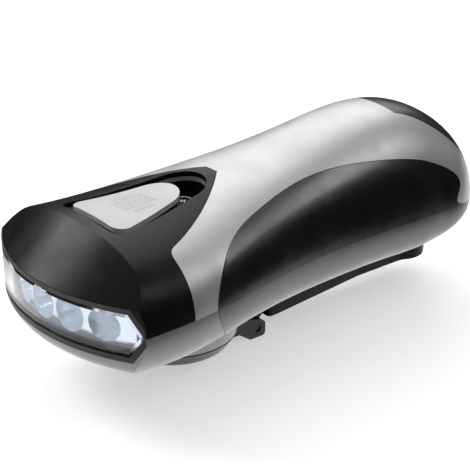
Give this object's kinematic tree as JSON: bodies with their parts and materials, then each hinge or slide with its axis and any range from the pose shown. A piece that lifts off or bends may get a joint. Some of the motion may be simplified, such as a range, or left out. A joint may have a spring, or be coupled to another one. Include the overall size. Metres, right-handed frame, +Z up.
{
  "type": "hand crank flashlight",
  "caption": "Pocket torch with a wide lens, a sliding top switch, and a folding crank under the handle that drives a generator through gears.",
  "frame": {"origin": "on the ground, under the middle of the torch's length and width", "axes": "+Y from the lens to the tail, +Z up, +X to the right seen from behind the handle"},
  "size_m": [0.0604, 0.1279, 0.051],
  "materials": {
    "silver_plastic": "moulded plastic with satin silver paint",
    "collar_plastic": "satin silver-grey",
    "black_satin": "fine satin",
    "black_gloss": "polished",
    "dark_plastic": "satin to gloss",
    "clear_lens": "clear, polished",
    "rubber_seal": "matt",
    "mirror_plastic": "vacuum metallised",
    "lamp_resin": "clear resin",
    "circuit_board": "green solder mask",
    "component_black": "matt",
    "steel": "zinc plated",
    "magnet": "sintered",
    "copper": "enamelled wire",
    "gear_nylon": "natural nylon",
    "plate_plastic": "matt",
    "cell_jacket": "steel cans"
  },
  "bodies": {
    "housing": {"upper_shell": "silver_plastic", "bearing_collar": "collar_plastic", "head_cover": "black_satin", "tail_cap": "black_satin", "switch_plate": "black_satin", "left_grip": "black_gloss", "right_grip": "black_gloss", "lower_shell": "dark_plastic", "lens": "clear_lens", "lens_gasket": "rubber_seal", "reflector": "mirror_plastic", "leds": "lamp_resin", "led_board": "circuit_board", "control_board": "circuit_board", "board_components": "component_black", "slide_switch": "component_black", "battery_holder": "component_black", "housing_screws": "steel", "plate_screws": "steel", "gear_axles": "steel", "stator_can": "steel", "battery_contacts": "steel", "coil_winding": "copper", "gear_plate": "plate_plastic", "battery_cells": "cell_jacket"},
    "crank_hub": {"crank_hub": "dark_plastic", "main_gear": "gear_nylon", "crank_clip": "steel", "hinge_pin": "steel"},
    "crank_arm": {"crank_arm": "black_satin", "knob_pin": "steel"},
    "knob": {"crank_knob": "black_satin"},
    "switch": {"switch_button": "silver_plastic", "switch_slider": "black_gloss"},
    "idler_1": {"idler_gear_1": "gear_nylon"},
    "idler_2": {"idler_gear_2": "gear_nylon"},
    "rotor": {"rotor_pinion": "gear_nylon", "rotor_magnet": "magnet"}
  },
  "joints": [
    {"name": "crank_spin", "type": "hinge", "parent": "housing", "child": "crank_hub", "pos_m": [0, -0.0264, 0], "axis": [0, 0, 1], "continuous": true},
    {"name": "crank_fold", "type": "hinge", "parent": "crank_hub", "child": "crank_arm", "pos_m": [0, -0.0065, 0.0024], "axis": [-1, 0, 0], "range_deg": [0, 180]},
    {"name": "knob_spin", "type": "hinge", "parent": "crank_arm", "child": "knob", "pos_m": [0, 0.0505, 0], "axis": [0, 0, 1], "continuous": true},
    {"name": "switch_slide", "type": "slide", "parent": "housing", "child": "switch", "axis": [0, 1, 0], "range_m": [0, 0.005]},
    {"name": "idler_1_spin", "type": "hinge", "parent": "housing", "child": "idler_1", "pos_m": [0, -0.00675, 0], "axis": [0, 0, 1], "continuous": true},
    {"name": "idler_2_spin", "type": "hinge", "parent": "housing", "child": "idler_2", "pos_m": [0, 0.0094, 0], "axis": [0, 0, 1], "continuous": true},
    {"name": "rotor_spin", "type": "hinge", "parent": "housing", "child": "rotor", "pos_m": [0, 0.02555, 0], "axis": [0, 0, 1], "continuous": true}
  ],
  "couplings": [
    {"joint": "idler_1_spin", "follows": "crank_spin", "ratio": -3.6667},
    {"joint": "idler_2_spin", "follows": "crank_spin", "ratio": 10.389},
    {"joint": "rotor_spin", "follows": "crank_spin", "ratio": -29.435}
  ]
}
